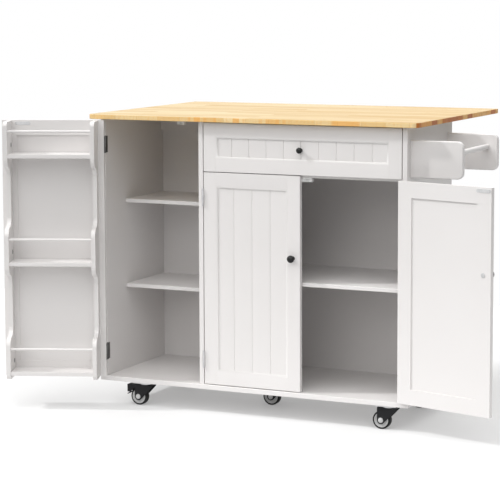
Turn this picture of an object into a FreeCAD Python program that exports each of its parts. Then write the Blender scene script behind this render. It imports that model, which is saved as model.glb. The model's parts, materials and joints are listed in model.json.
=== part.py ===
import FreeCAD, Part
import os
from math import acos, atan2, cos, degrees, hypot, pi, sin

from FreeCAD import Vector

# Drop leaf kitchen island on casters. Millimetres. X to the right, Y to the back, Z up.
# The origin is on the floor, under the middle of the cabinet's width and depth.
# It is drawn with its leaf up, and with the spice door and the right door open.

# ---- driving sizes: cabinet ----
cabinet_width = 1024.0
cabinet_depth = 390.0
island_height = 920.0
caster_height = 75.0
board = 15.0                    # side panels, divider, base and rails
base_side_overhang = 8.0
base_front_overhang = 6.0
base_edge_round = 1.5
left_opening = 326.5            # clear width of the narrow compartment
back_thickness = 5.0
rear_rail_height = 60.0
drawer_rail_depth = 70.0
drawer_rail_drop = 161.0        # from the worktop's underside to the rail's underside

# ---- driving sizes: worktop and leaf ----
top_thickness = 15.0
top_side_overhang = 38.0
top_front_overhang = 20.0
top_rear_overhang = 40.0
top_corner_radius = 20.0
leaf_depth = 299.0
leaf_gap = 1.0
leaf_corner_radius = 4.0
top_edge_round = 2.0

# ---- driving sizes: shelves ----
shelf_thickness = 12.0
shelf_end_gap = 1.0
left_shelf_setback = 125.0      # room for the rack on the spice door
right_shelf_setback = 20.0
left_shelf_heights = [278.0, 552.0]     # shelf tops above the base's top
right_shelf_height = 335.0
pin_radius = 2.5
pin_in_board = 8.0
pin_reach = 7.0
pin_inset = 40.0
pin_clearance = 0.05

# ---- driving sizes: doors and drawer front ----
door_thickness = 15.0
front_gap = 2.5                 # all round each door and the drawer front
door_foot_gap = 2.0
stile_width = 47.0
rail_width = 47.0
frame_bevel = 6.0               # bevel round the panel, across and deep
frame_bevel_depth = 3.0
frame_edge_round = 1.2
panel_thickness = 6.0
panel_recess = 5.0
panel_tongue = 6.0
tongue_clearance = 0.5
bead_width = 4.0
bead_depth = 2.0
bead_margin = 25.0
door_bead_pitch = 61.0
drawer_bead_pitch = 57.4
joint_line = 0.7
spice_open = 158.5              # degrees, as drawn
right_open = 165.0              # degrees, as drawn
knob_height = 408.0             # door knobs above the door's foot
knob_radius = 11.8
knob_length = 26.0
drawer_knob_share = 0.82        # of the door knobs' size
knob_neck = 5.5
knob_foot_flare = 2.5
knob_screw_end = 1.0            # screw's end to the end of its hole
knob_screw_radius = 2.0
screw_head_radius = 4.5
screw_head_height = 2.0
screw_clearance = 0.15

# ---- driving sizes: butt hinges of the doors ----
hinge_height = 52.0
hinge_end = 77.0                # hinge's middle from the door's top and foot
hinge_leaf = 1.0
hinge_leaf_depth = 13.0
knuckle_radius = 3.4
knuckle_count = 5
knuckle_gap = 0.3
hinge_proud = 3.7               # pin's axis in front of the doors
hinge_pin_radius = 1.5
hinge_pin_clearance = 0.05
hinge_pin_head = 1.2

# ---- driving sizes: magnetic catches ----
strike_thickness = 1.0
strike_length = 49.0
strike_height = 10.0
strike_edge = 2.0
strike_drop = 5.0
catch_gap = 0.3
catch_depth = 14.0
catch_height = 12.5
spice_catch_width = 25.0
spice_catch_inset = 56.0        # from the divider to the catch
pair_catch_width = 60.0
magnet_width = 15.0
magnet_height = 6.0
magnet_proud = 0.8

# ---- driving sizes: drawer ----
box_thickness = 12.0
box_height = 100.0
drawer_back_gap = 10.0          # drawer to the rear rail
box_lift = 6.0                  # box above the drawer rail
drawer_bottom_thickness = 5.0
drawer_bottom_lift = 6.0
drawer_groove = 5.0
runner_space = 12.5
runner_sheet = 1.2
runner_short = 5.0              # runners shorter than the box
runner_lip = 8.3
roller_radius = 9.0
roller_width = 7.0
roller_gap = 0.3
roller_end = 10.0

# ---- driving sizes: spice rack ----
rack_margin = 18.5              # door's edge to the rack's outer face
rack_board = 13.0
rack_end_gap = 1.0
rack_depth = 85.0
rack_waist = 34.0               # depth of the side panels between the tiers
rack_curve = 56.0               # height of each S-curve
rack_corner = 15.0
rack_shelf = 12.0
rack_shelf_inset = 2.0
rack_foot_tier = 25.0           # rack's foot to the lowest shelf's top
rack_middle_share = 0.5066      # of the way from the lowest shelf to the highest
rack_top_drop = 100.5           # rack's top to the highest shelf's top
rod_rise = 71.0
rod_radius = 4.0
rod_inset = 9.0
rod_tenon = 6.0
ear_above_rod = 8.0
ear_below_shelf = 4.0
cam_radius = 7.5
cam_depth = 9.0
cam_inset = 18.0
cam_rise = 25.0
fit_clearance = 0.05

# ---- driving sizes: towel rack ----
towel_board = 18.0
towel_reach = 161.0
towel_height = 110.0
towel_top_drop = 39.0           # from the worktop's underside
towel_centre = 160.0            # each board's middle from the cabinet's middle
towel_corner = 18.0
towel_edge_round = 3.0
towel_rod_radius = 8.0
towel_rod_reach = 128.0
towel_rod_drop = 38.0
towel_rod_tenon = 9.0

# ---- driving sizes: leaf hinges ----
leaf_hinge_width = 60.0
leaf_hinge_from_back = 10.5     # cabinet's back to the plates under the worktop
leaf_hinge_sheet = 1.2
leaf_hinge_places = [-430.0, -140.0, 140.0, 430.0]
leaf_pin_drop = 4.0             # pin's axis under the worktop's underside
leaf_knuckle_radius = 3.6
leaf_pin_radius = 1.8

# ---- driving sizes: slotted legs, stays and lugs of the leaf ----
stay_places = [-300.0, 300.0]
stay_reach = 110.0              # leaf's axis to the stay's rivet, along the leaf
rivet_drop = 10.0               # leaf's axis to the rivet, below it
pin_drop = 112.0                # leaf's axis to the stay's pin, below it, with the leaf up
pin_from_back = 12.5            # cabinet's back to the pin at both ends of the slot
slot_steps = 20
slot_clearance = 0.3
stay_width = 15.0
stay_sheet = 3.0
stay_gap = 0.4                  # stay to the leg and to the lug
stay_pin_radius = 3.0
stay_head_radius = 5.5
stay_head = 1.5
leg_sheet = 2.5
leg_depth = 33.0
leg_flange = 20.0
leg_ends = 13.0                 # slot's ends to the leg's ends
leg_corner = 8.0
lug_length = 56.0
lug_depth = 22.0

# ---- driving sizes: casters ----
left_caster_inset = 139.0       # cabinet's left side to the left pair's swivels
right_caster_inset = 63.0
front_caster_inset = 26.0       # cabinet's front to the front pair's swivels
rear_caster_inset = 40.0
middle_caster = 10.0            # right of the cabinet's middle
caster_trail = 22.0
wheel_radius = 27.5
wheel_width = 22.0
tyre_thickness = 5.0
hub_width = 20.0
hub_dish_depth = 3.0
hub_boss_radius = 9.0
hub_rim = 3.0
hub_slope = 1.0
axle_radius = 4.0
axle_clearance = 0.06
axle_cap_radius = 8.0
axle_cap_height = 3.5
plate_size = 60.0
plate_thickness = 2.5
plate_hole_radius = 2.6
plate_hole_spacing = 44.0
race_radius = 21.0
race_taper = 2.0
fork_sheet = 2.0
fork_side_gap = 1.5             # wheel to cheek
fork_front = 27.5               # fork's ends from the swivel's axis
fork_boss_radius = 12.0
fork_top_drop = 8.0             # fork's top below the base
fork_lip = 5.0
fork_bend_radius = 2.5
kingpin_radius = 4.0
kingpin_head_radius = 7.0
kingpin_head = 2.5
swivel_gap = 0.3
pedal_sheet = 2.5
pedal_reach = 28.0              # past the fork's rear edge
pedal_drop = 24.0
pedal_pin_radius = 2.0
pedal_barrel_radius = 3.5
pedal_wheel_gap = 3.0
pedal_pin_edge = 1.0            # pin's barrel to the fork's rear edge and its top
pedal_tongue = 16.0
pedal_root = 13.0               # tongue's root from the hood's left face
pedal_angle = 32.0

# ---- planes and faces that the sizes give ----
side_x = cabinet_width / 2
inner_x = side_x - board
front_y = -cabinet_depth / 2
back_y = cabinet_depth / 2
back_inner_y = back_y - back_thickness
base_top = caster_height + board
top_under = island_height - top_thickness
divider_x0 = -inner_x + left_opening
divider_x1 = divider_x0 + board
door_back_y = front_y + door_thickness
door_foot = base_top + door_foot_gap
stop_y = door_back_y + strike_thickness + catch_gap
rail_under = top_under - drawer_rail_drop
rail_top = rail_under + board
door_top = rail_under + 0.4 * board
drawer_foot = door_top + front_gap
front_top = top_under - front_gap
rack_foot = door_foot + rack_end_gap
rack_top = front_top - rack_end_gap
rack_top_tier = rack_top - rack_foot - rack_top_drop
rack_middle_tier = rack_foot_tier + rack_middle_share * (rack_top_tier - rack_foot_tier)
rack_tiers = [rack_foot_tier, rack_middle_tier, rack_top_tier]
box_depth = back_inner_y - board - drawer_back_gap - door_back_y
runner_length = box_depth - runner_short
right_opening = inner_x - divider_x1
pair_door_width = (right_opening - 3 * front_gap) / 2
pair_middle = divider_x1 + right_opening / 2
drawer_x0 = divider_x1 + front_gap
drawer_x1 = inner_x - front_gap
worktop_front = front_y - top_front_overhang
worktop_back = back_y + top_rear_overhang
leaf_axis_y = worktop_back + leaf_gap / 2
leaf_axis_z = top_under - leaf_pin_drop
leaf_hinge_plate = leaf_axis_y - back_y - leaf_hinge_from_back
hinge_axis_y = front_y - hinge_proud
left_caster_x = -side_x + left_caster_inset
right_caster_x = side_x - right_caster_inset
front_caster_y = front_y + front_caster_inset
rear_caster_y = back_y - rear_caster_inset


# ---- helpers ----
def box(x0, x1, y0, y1, z0, z1):
    return Part.makeBox(x1 - x0, y1 - y0, z1 - z0, Vector(x0, y0, z0))


def rod(radius, start, end):
    start = Vector(*start)
    along = Vector(*end) - start
    return Part.makeCylinder(radius, along.Length, start, along)


def flat(points, thickness):
    """A closed outline of points, filled and made as thick as the vector says."""
    wire = Part.makePolygon([Vector(*p) for p in points] + [Vector(*points[0])])
    return Part.Face(wire).extrude(Vector(*thickness))


def turned(points, axis_point, axis):
    """A closed outline of points, turned once round the axis."""
    wire = Part.makePolygon([Vector(*p) for p in points] + [Vector(*points[0])])
    return Part.Face(wire).revolve(Vector(*axis_point), Vector(*axis), 360)


def rounded(shape, radius, wanted):
    return shape.makeFillet(radius, [e for e in shape.Edges if wanted(e)])


def on_plane(edge, place, value):
    """True if both ends of the edge lie where one of their coordinates has the value."""
    return all(abs(getattr(v, place) - value) < 1e-6 for v in edge.Vertexes)


def upright(edge):
    ends = edge.Vertexes
    return len(ends) == 2 and abs(ends[0].X - ends[1].X) + abs(ends[0].Y - ends[1].Y) < 1e-6


def mirror_x(shape, x):
    return shape.mirror(Vector(x, 0, 0), Vector(1, 0, 0))


def turn(shape, x, y, angle):
    """The shape turned about an upright axis, anticlockwise seen from above."""
    copy = shape.copy()
    copy.rotate(Vector(x, y, 0), Vector(0, 0, 1), angle)
    return copy


def save(node, *solids):
    shape = solids[0] if len(solids) == 1 else Part.makeCompound(list(solids))
    shape.exportStep("parts/" + node + ".step")
    count = len(shape.Solids)
    print("%-30s %2d solid%s %12.1f mm3" % (node, count, " " if count == 1 else "s", shape.Volume))


# ---- carcass ----
def base_panel():
    side = side_x + base_side_overhang
    shape = box(-side, side, front_y - base_front_overhang, back_y, caster_height, base_top)
    return rounded(shape, base_edge_round, lambda e: not on_plane(e, "Y", back_y))


def pin_places(y0, z_top):
    """Y and Z of a shelf's two pins on each side: under the shelf, near its front and back."""
    z = z_top - shelf_thickness - pin_radius
    return [(y0 + pin_inset, z), (back_inner_y - pin_inset, z)]


def shelves():
    """Each shelf as x0, x1, y0 and its top."""
    rows = []
    for height in left_shelf_heights:
        rows.append((-inner_x, divider_x0, front_y + left_shelf_setback, base_top + height))
    rows.append((divider_x1, inner_x, front_y + right_shelf_setback, base_top + right_shelf_height))
    return rows


def shelf_board(x0, x1, y0, z_top):
    shape = box(x0 + shelf_end_gap, x1 - shelf_end_gap, y0, back_inner_y, z_top - shelf_thickness, z_top)
    return rounded(shape, base_edge_round, lambda e: on_plane(e, "Y", y0) and not upright(e))


def with_pin_holes(panel, x_face, into):
    """The upright panel with a hole for each pin that enters the face at x_face."""
    for x0, x1, y0, z_top in shelves():
        if abs(x0 - x_face) < 1e-6 or abs(x1 - x_face) < 1e-6:
            for y, z in pin_places(y0, z_top):
                end = x_face + into * (pin_in_board + pin_clearance)
                panel = panel.cut(rod(pin_radius + pin_clearance, (x_face, y, z), (end, y, z)))
    return panel


def shelf_pins():
    pins = []
    for x0, x1, y0, z_top in shelves():
        for y, z in pin_places(y0, z_top):
            pins.append(rod(pin_radius, (x0 - pin_in_board, y, z), (x0 + pin_reach, y, z)))
            pins.append(rod(pin_radius, (x1 + pin_in_board, y, z), (x1 - pin_reach, y, z)))
    return pins


def side_panel(sign):
    x0, x1 = sorted((sign * inner_x, sign * side_x))
    panel = box(x0, x1, front_y, back_y, base_top, top_under)
    return with_pin_holes(panel, sign * inner_x, sign)


def divider_panel():
    panel = box(divider_x0, divider_x1, front_y, back_y, base_top, top_under)
    panel = with_pin_holes(panel, divider_x0, 1)
    return with_pin_holes(panel, divider_x1, -1)


def back_panels():
    left = box(-inner_x, divider_x0, back_inner_y, back_y, base_top, top_under)
    right = box(divider_x1, inner_x, back_inner_y, back_y, base_top, top_under)
    return left, right


def rear_rails():
    y0 = back_inner_y - board
    z0 = top_under - rear_rail_height
    left = box(-inner_x, divider_x0, y0, back_inner_y, z0, top_under)
    right = box(divider_x1, inner_x, y0, back_inner_y, z0, top_under)
    return left, right


def drawer_rail():
    return box(divider_x1, inner_x, stop_y, stop_y + drawer_rail_depth, rail_under, rail_top)


# ---- worktop and drop leaf ----
def worktop():
    half = side_x + top_side_overhang
    shape = box(-half, half, worktop_front, worktop_back, top_under, island_height)
    shape = rounded(shape, top_corner_radius, lambda e: upright(e) and on_plane(e, "Y", worktop_front))
    return rounded(shape, top_edge_round, lambda e: not upright(e) and not on_plane(e, "Y", worktop_back))


def drop_leaf():
    half = side_x + top_side_overhang
    y0 = worktop_back + leaf_gap
    y1 = y0 + leaf_depth
    shape = box(-half, half, y0, y1, top_under, island_height)
    shape = rounded(shape, leaf_corner_radius, lambda e: upright(e) and on_plane(e, "Y", y1))
    return rounded(shape, top_edge_round, lambda e: not upright(e) and not on_plane(e, "Y", y0))


def split_barrel(x0, width, count):
    """The lengths of a hinge's knuckles, from x0, as pairs; every other one is one leaf's."""
    pitch = width / count
    return [(x0 + i * pitch + knuckle_gap / 2, x0 + (i + 1) * pitch - knuckle_gap / 2) for i in range(count)]


def leaf_hinge(x_mid, toward, first):
    """One half of a leaf hinge. toward is -1 for the worktop's half and 1 for the leaf's."""
    x0 = x_mid - leaf_hinge_width / 2
    x1 = x_mid + leaf_hinge_width / 2
    near = leaf_axis_y + toward * (leaf_knuckle_radius + knuckle_gap)
    far = leaf_axis_y + toward * leaf_hinge_plate
    y0, y1 = sorted((near, far))
    half = box(x0, x1, y0, y1, top_under - leaf_hinge_sheet, top_under)
    for a, b in split_barrel(x0, leaf_hinge_width, knuckle_count)[first::2]:
        y0, y1 = sorted((leaf_axis_y, near))
        half = half.fuse(box(a, b, y0, y1, top_under - leaf_hinge_sheet, top_under))
        half = half.fuse(rod(leaf_knuckle_radius, (a, leaf_axis_y, leaf_axis_z), (b, leaf_axis_y, leaf_axis_z)))
    bore = rod(leaf_pin_radius + hinge_pin_clearance, (x0, leaf_axis_y, leaf_axis_z), (x1, leaf_axis_y, leaf_axis_z))
    return half.cut(bore).removeSplitter()


def leaf_hinge_pin(x_mid):
    half = leaf_hinge_width / 2 - knuckle_gap
    return rod(leaf_pin_radius, (x_mid - half, leaf_axis_y, leaf_axis_z), (x_mid + half, leaf_axis_y, leaf_axis_z))


# ---- stays: riveted to lugs under the leaf, with pins that run in slotted legs on the back ----
slot_y = back_y + pin_from_back - leaf_axis_y
stay_length = hypot(stay_reach - slot_y, pin_drop - rivet_drop)
stay_up = atan2(rivet_drop - pin_drop, slot_y - stay_reach)
stay_down = -acos((slot_y + rivet_drop) / stay_length)
stay_turn = (stay_down + pi / 2 - stay_up) % (2 * pi)


def stay_pin_at(share):
    """Y and Z of a stay's pin with the leaf lowered by a share of its 90 degrees.

    The stay turns on its rivet in step with the leaf, and the slot follows the pin's path.
    """
    drop = share * pi / 2
    angle = stay_up + share * stay_turn - drop
    y = stay_reach * cos(drop) - rivet_drop * sin(drop) + stay_length * cos(angle)
    z = -stay_reach * sin(drop) - rivet_drop * cos(drop) + stay_length * sin(angle)
    return leaf_axis_y + y, leaf_axis_z + z


def stay_slot(x0, x1):
    half = stay_pin_radius + slot_clearance
    path = [stay_pin_at(i / slot_steps) for i in range(slot_steps + 1)]
    near, far = [], []
    for i, (y, z) in enumerate(path):
        before, after = path[max(i - 1, 0)], path[min(i + 1, slot_steps)]
        dy, dz = after[0] - before[0], after[1] - before[1]
        step = hypot(dy, dz) / half
        near.append((x0, y - dz / step, z + dy / step))
        far.append((x0, y + dz / step, z - dy / step))
    slot = flat(near + far[::-1], (x1 - x0, 0, 0))
    for y, z in (path[0], path[-1]):
        slot = slot.fuse(rod(half, (x0, y, z), (x1, y, z)))
    return slot


def stay_leg(x):
    """An angle on the cabinet's back, whose web to the left of x has the curved slot."""
    z0 = stay_pin_at(1)[1] - leg_ends
    z1 = stay_pin_at(0)[1] + leg_ends
    web = box(x - leg_sheet, x, back_y, back_y + leg_depth, z0, z1)
    web = rounded(web, leg_corner,
                  lambda e: on_plane(e, "Y", back_y + leg_depth) and abs(e.Vertexes[0].X - e.Vertexes[1].X) > 1)
    web = web.fuse(box(x - leg_flange, x, back_y, back_y + leg_sheet, z0, z1))
    return web.cut(stay_slot(x - leg_sheet - 1, x + 1)).removeSplitter()


def stay(x):
    """A flat bar to the right of x, with its pin to the left and its rivet to the right."""
    x0, x1 = x + stay_gap, x + stay_gap + stay_sheet
    rivet = (leaf_axis_y + stay_reach, leaf_axis_z - rivet_drop)
    pin = stay_pin_at(0)
    half = stay_width / 2
    across = Vector(0, rivet[1] - pin[1], pin[0] - rivet[0]).normalize() * half
    ends = [(rivet, 1), (pin, 1), (pin, -1), (rivet, -1)]
    bar = flat([(x0, y + side * across.y, z + side * across.z) for (y, z), side in ends], (stay_sheet, 0, 0))
    for end in (rivet, pin):
        bar = bar.fuse(rod(half, (x0, *end), (x1, *end)))
    pin_end = x - leg_sheet - stay_gap
    rivet_end = x1 + stay_gap + leg_sheet + stay_gap
    bar = bar.fuse(rod(stay_pin_radius, (x0, *pin), (pin_end, *pin)))
    bar = bar.fuse(rod(stay_head_radius, (pin_end, *pin), (pin_end - stay_head, *pin)))
    bar = bar.fuse(rod(stay_pin_radius, (x1, *rivet), (rivet_end, *rivet)))
    bar = bar.fuse(rod(stay_head_radius, (rivet_end, *rivet), (rivet_end + stay_head, *rivet)))
    return bar.removeSplitter()


def stay_lug(x):
    """An angle under the leaf, whose web to the right of the stay takes the rivet."""
    x0 = x + stay_sheet + 2 * stay_gap
    y, z = leaf_axis_y + stay_reach, leaf_axis_z - rivet_drop
    y0, y1 = y - lug_length / 2, y + lug_length / 2
    lug = box(x0, x0 + leg_sheet, y0, y1, top_under - lug_depth, top_under)
    lug = rounded(lug, leg_corner,
                  lambda e: on_plane(e, "Z", top_under - lug_depth) and abs(e.Vertexes[0].X - e.Vertexes[1].X) > 1)
    lug = lug.fuse(box(x0, x0 + leg_flange, y0, y1, top_under - leg_sheet, top_under))
    hole = rod(stay_pin_radius + fit_clearance, (x0, y, z), (x0 + leg_sheet, y, z))
    return lug.cut(hole).removeSplitter()


# ---- fronts: stiles and rails round a grooved panel ----
def v_groove(x, z0, z1, y, width, depth):
    outline = [(x - width / 2, y, z0), (x + width / 2, y, z0), (x, y + depth, z0)]
    return flat(outline, (0, 0, z1 - z0))


def front_frame(x0, x1, z0, z1):
    frame = box(x0, x1, front_y, door_back_y, z0, z1)
    frame = rounded(frame, frame_edge_round, lambda e: on_plane(e, "Y", front_y))
    a0, a1 = x0 + stile_width, x1 - stile_width
    b0, b1 = z0 + rail_width, z1 - rail_width
    frame = frame.cut(box(a0, a1, front_y, door_back_y, b0, b1))
    near = [(a0 - frame_bevel, b0 - frame_bevel), (a1 + frame_bevel, b0 - frame_bevel)]
    near = near + [(a1 + frame_bevel, b1 + frame_bevel), (a0 - frame_bevel, b1 + frame_bevel)]
    far = [(a0, b0), (a1, b0), (a1, b1), (a0, b1)]
    near_wire = Part.makePolygon([Vector(x, front_y, z) for x, z in near + near[:1]])
    far_wire = Part.makePolygon([Vector(x, front_y + frame_bevel_depth, z) for x, z in far + far[:1]])
    frame = frame.cut(Part.makeLoft([near_wire, far_wire], True, True))
    hold = panel_tongue + tongue_clearance
    y0 = front_y + panel_recess
    frame = frame.cut(box(a0 - hold, a1 + hold, y0, y0 + panel_thickness, b0 - hold, b1 + hold))
    for x in (a0 - frame_bevel, a1 + frame_bevel):
        for low, high in ((z0, b0 - frame_bevel), (b1 + frame_bevel, z1)):
            frame = frame.cut(v_groove(x, low, high, front_y, joint_line, joint_line / 2))
    return frame


def front_panel(x0, x1, z0, z1, pitch):
    a0, a1 = x0 + stile_width, x1 - stile_width
    b0, b1 = z0 + rail_width, z1 - rail_width
    y0 = front_y + panel_recess
    low, high = b0 - panel_tongue, b1 + panel_tongue
    panel = box(a0 - panel_tongue, a1 + panel_tongue, y0, y0 + panel_thickness, low, high)
    each_way = int(((a1 - a0) / 2 - bead_margin) / pitch)
    for i in range(-each_way, each_way + 1):
        x = (a0 + a1) / 2 + i * pitch
        panel = panel.cut(v_groove(x, low, high, y0, bead_width, bead_depth))
    return panel


def knob_profile():
    """Half of the knob's section, from its foot on the front to its crown: radius and reach."""
    neck_end = 0.4 * knob_length
    rim = 0.62 * knob_length
    outline = [(0, 0), (knob_neck + knob_foot_flare, 0), (knob_neck, 0.12 * knob_length), (knob_neck, neck_end)]
    for i in range(1, 5):
        angle = i * pi / 8
        reach = neck_end + (rim - neck_end) * (1 - cos(angle))
        outline.append((knob_neck + (knob_radius - knob_neck) * sin(angle), reach))
    for i in range(1, 7):
        angle = i * pi / 12
        outline.append((knob_radius * cos(angle), rim + (knob_length - rim) * sin(angle)))
    return outline


def knob(x, z, share=1.0):
    """A turned knob on the front at x and z, with the screw that holds it from behind."""
    points = [(x + share * r, front_y - share * reach, z) for r, reach in knob_profile()]
    points[-1] = (x, front_y - share * knob_length, z)
    body = turned(points, (x, front_y, z), (0, 1, 0))
    tip = front_y - share * knob_length / 2
    body = body.cut(rod(knob_screw_radius + fit_clearance, (x, front_y, z), (x, tip, z)))
    screw = rod(knob_screw_radius, (x, tip + knob_screw_end, z), (x, door_back_y, z))
    head = rod(screw_head_radius, (x, door_back_y, z), (x, door_back_y + screw_head_height, z))
    return body, screw.fuse(head)


def knob_hole(x, z):
    return rod(knob_screw_radius + screw_clearance, (x, front_y, z), (x, door_back_y, z))


# ---- butt hinges: the cabinet's leaf, the door's leaf and the pin ----
def hinge_barrel(x, z_mid, first, radius):
    z0 = z_mid - hinge_height / 2
    rings = []
    for a, b in split_barrel(z0, hinge_height, knuckle_count)[first::2]:
        rings.append((a, b, rod(radius, (x, hinge_axis_y, a), (x, hinge_axis_y, b))))
    return rings


def hinge_half(jamb_x, z_mid, first):
    """One half of a hinge whose cabinet side is at jamb_x, with the door to its right."""
    x = jamb_x + front_gap / 2
    x0 = jamb_x if first == 0 else jamb_x + front_gap - hinge_leaf
    z0, z1 = z_mid - hinge_height / 2, z_mid + hinge_height / 2
    clear = hinge_axis_y + knuckle_radius + knuckle_gap
    half = box(x0, x0 + hinge_leaf, clear, front_y + hinge_leaf_depth, z0, z1)
    root = hinge_axis_y + hinge_pin_radius + 2 * hinge_pin_clearance
    for a, b, ring in hinge_barrel(x, z_mid, first, knuckle_radius):
        half = half.fuse(box(x0, x0 + hinge_leaf, root, clear, a, b)).fuse(ring)
    bore = rod(hinge_pin_radius + hinge_pin_clearance, (x, hinge_axis_y, z0), (x, hinge_axis_y, z1))
    return half.cut(bore).removeSplitter()


def hinge_pin(jamb_x, z_mid):
    x = jamb_x + front_gap / 2
    z0, z1 = z_mid - hinge_height / 2, z_mid + hinge_height / 2
    pin = rod(hinge_pin_radius, (x, hinge_axis_y, z0), (x, hinge_axis_y, z1))
    for z, end in ((z0, z0 - hinge_pin_head), (z1, z1 + hinge_pin_head)):
        pin = pin.fuse(rod(knuckle_radius - hinge_leaf, (x, hinge_axis_y, z), (x, hinge_axis_y, end)))
    return pin.removeSplitter()


def door_hinges(jamb_x, z0, z1):
    """The two hinges of a door as lists of cabinet leaves, pins and door leaves."""
    middles = (z0 + hinge_end, z1 - hinge_end)
    cabinet = [hinge_half(jamb_x, z, 0) for z in middles]
    pins = [hinge_pin(jamb_x, z) for z in middles]
    door = [hinge_half(jamb_x, z, 1) for z in middles]
    return cabinet, pins, door


# ---- magnetic catches and their strikes ----
def catch(x0, x1, z_top, magnets):
    """A catch that hangs from z_top, with magnets let into its front."""
    body = box(x0, x1, stop_y, stop_y + catch_depth, z_top - catch_height, z_top)
    body = rounded(body, magnet_proud, lambda e: on_plane(e, "Z", z_top - catch_height))
    z = z_top - catch_height / 2 - magnet_proud
    for x in magnets:
        slot = box(x - magnet_width / 2, x + magnet_width / 2, stop_y, stop_y + catch_depth / 2,
                   z - magnet_height / 2, z + magnet_height / 2)
        lips = box(x - magnet_width / 2, x + magnet_width / 2, stop_y + magnet_proud, stop_y + catch_depth / 2,
                   z - magnet_height / 2 + magnet_proud, z + magnet_height / 2 - magnet_proud)
        body = body.cut(slot.cut(lips))
    return body


def strike(x0, x1, z_top):
    """A plate with round ends on a door's inner face, a little below the door's top."""
    z1 = z_top - strike_drop
    z0 = z1 - strike_height
    r = strike_height / 2
    y1 = door_back_y + strike_thickness
    plate = box(x0 + r, x1 - r, door_back_y, y1, z0, z1)
    for x in (x0 + r, x1 - r):
        plate = plate.fuse(rod(r, (x, door_back_y, z0 + r), (x, y1, z0 + r)))
    return plate.removeSplitter()


# ---- doors ----
def pair_door(x0, hinge_left):
    """The pieces of one of the two doors under the drawer, closed: a dict of solids."""
    x1 = x0 + pair_door_width
    knob_x = x1 - stile_width / 2 if hinge_left else x0 + stile_width / 2
    knob_z = door_foot + knob_height
    frame = front_frame(x0, x1, door_foot, door_top).cut(knob_hole(knob_x, knob_z))
    if hinge_left:
        plate = strike(x1 - strike_edge - strike_length, x1 - strike_edge, door_top)
    else:
        plate = strike(x0 + strike_edge, x0 + strike_edge + strike_length, door_top)
    return {
        "frame": [frame],
        "panel": [front_panel(x0, x1, door_foot, door_top, door_bead_pitch)],
        "knob": list(knob(knob_x, knob_z)),
        "strike": [plate],
    }


def spice_rack_side(x0):
    """A rack side: deep at each tier and waisted between, with S-curves of two arcs each."""
    z0 = rack_foot
    z1 = rack_top
    deep = door_back_y + rack_depth
    waist = door_back_y + rack_waist
    middle = (deep + waist) / 2
    edges = []

    def line(start, end):
        edges.append(Part.makeLine(Vector(x0, *start), Vector(x0, *end)))

    def s_curve(start, end):
        """Two equal arcs, upright where they meet the straight edges."""
        (ya, za), (yb, zb) = start, end
        zm = (za + zb) / 2
        dy, dz = (yb - ya) / 2, (zb - za) / 2
        radius = (dy * dy + dz * dz) / (2 * abs(dy))
        side = 1 if dy > 0 else -1
        for y, z, s, part in ((ya, za, 1, dz), (yb, zb, -1, -dz)):
            centre_y = y + s * side * radius
            half = asin_half(abs(dz), radius)
            mid = (centre_y - s * side * radius * cos(half), z + (radius * sin(half)) * (1 if part > 0 else -1))
            a, b = (y, z), (middle, zm)
            if s < 0:
                a, b = b, a
            edges.append(Part.Arc(Vector(x0, *a), Vector(x0, *mid), Vector(x0, *b)).toShape())

    corner = rack_corner * (1 - cos(pi / 4))
    line((door_back_y, z0), (deep - rack_corner, z0))
    edges.append(Part.Arc(Vector(x0, deep - rack_corner, z0), Vector(x0, deep - corner, z0 + corner),
                          Vector(x0, deep, z0 + rack_corner)).toShape())
    z = z0 + rack_corner
    for low, high in zip(rack_tiers[:-1], rack_tiers[1:]):
        ear_top = z0 + low + rod_rise + ear_above_rod
        ear_foot = z0 + high - rack_shelf - ear_below_shelf
        line((deep, z), (deep, ear_top))
        s_curve((deep, ear_top), (waist, ear_top + rack_curve))
        line((waist, ear_top + rack_curve), (waist, ear_foot - rack_curve))
        s_curve((waist, ear_foot - rack_curve), (deep, ear_foot))
        z = ear_foot
    line((deep, z), (deep, z1 - rack_corner))
    edges.append(Part.Arc(Vector(x0, deep, z1 - rack_corner), Vector(x0, deep - corner, z1 - corner),
                          Vector(x0, deep - rack_corner, z1)).toShape())
    line((deep - rack_corner, z1), (door_back_y, z1))
    line((door_back_y, z1), (door_back_y, z0))
    return Part.Face(Part.Wire(edges)).extrude(Vector(rack_board, 0, 0))


def asin_half(opposite, radius):
    """Half the angle whose sine is opposite / radius."""
    return (pi / 2 - acos(opposite / radius)) / 2


def spice_rack(x0, x1):
    """The rack on the closed spice door, between x0 and x1: sides, shelves, rods and cams."""
    z0 = rack_foot
    inner0, inner1 = x0 + rack_board, x1 - rack_board
    sides = [spice_rack_side(x0), spice_rack_side(inner1)]
    boards, rods, cams = [], [], []
    rod_y = door_back_y + rack_depth - rod_inset
    cam_y = door_back_y + cam_inset
    for tier in rack_tiers:
        top = z0 + tier
        front = door_back_y + rack_depth - rack_shelf_inset
        boards.append(box(inner0, inner1, door_back_y, front, top - rack_shelf, top))
        z = top + rod_rise
        start, end = inner0 - rod_tenon, inner1 + rod_tenon
        rods.append(rod(rod_radius, (start, rod_y, z), (end, rod_y, z)))
        hole = rod(rod_radius + fit_clearance, (start - fit_clearance, rod_y, z), (end + fit_clearance, rod_y, z))
        sides = [side.cut(hole) for side in sides]
        z = top + cam_rise
        for i, face, into in ((0, inner0, -1), (1, inner1, 1)):
            cams.append(rod(cam_radius, (face, cam_y, z), (face + into * cam_depth, cam_y, z)))
            pocket = (face + into * (cam_depth + fit_clearance), cam_y, z)
            sides[i] = sides[i].cut(rod(cam_radius + fit_clearance, (face, cam_y, z), pocket))
    return {"rack_sides": sides, "rack_shelves": boards, "rack_rods": rods, "rack_cams": cams}


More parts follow.
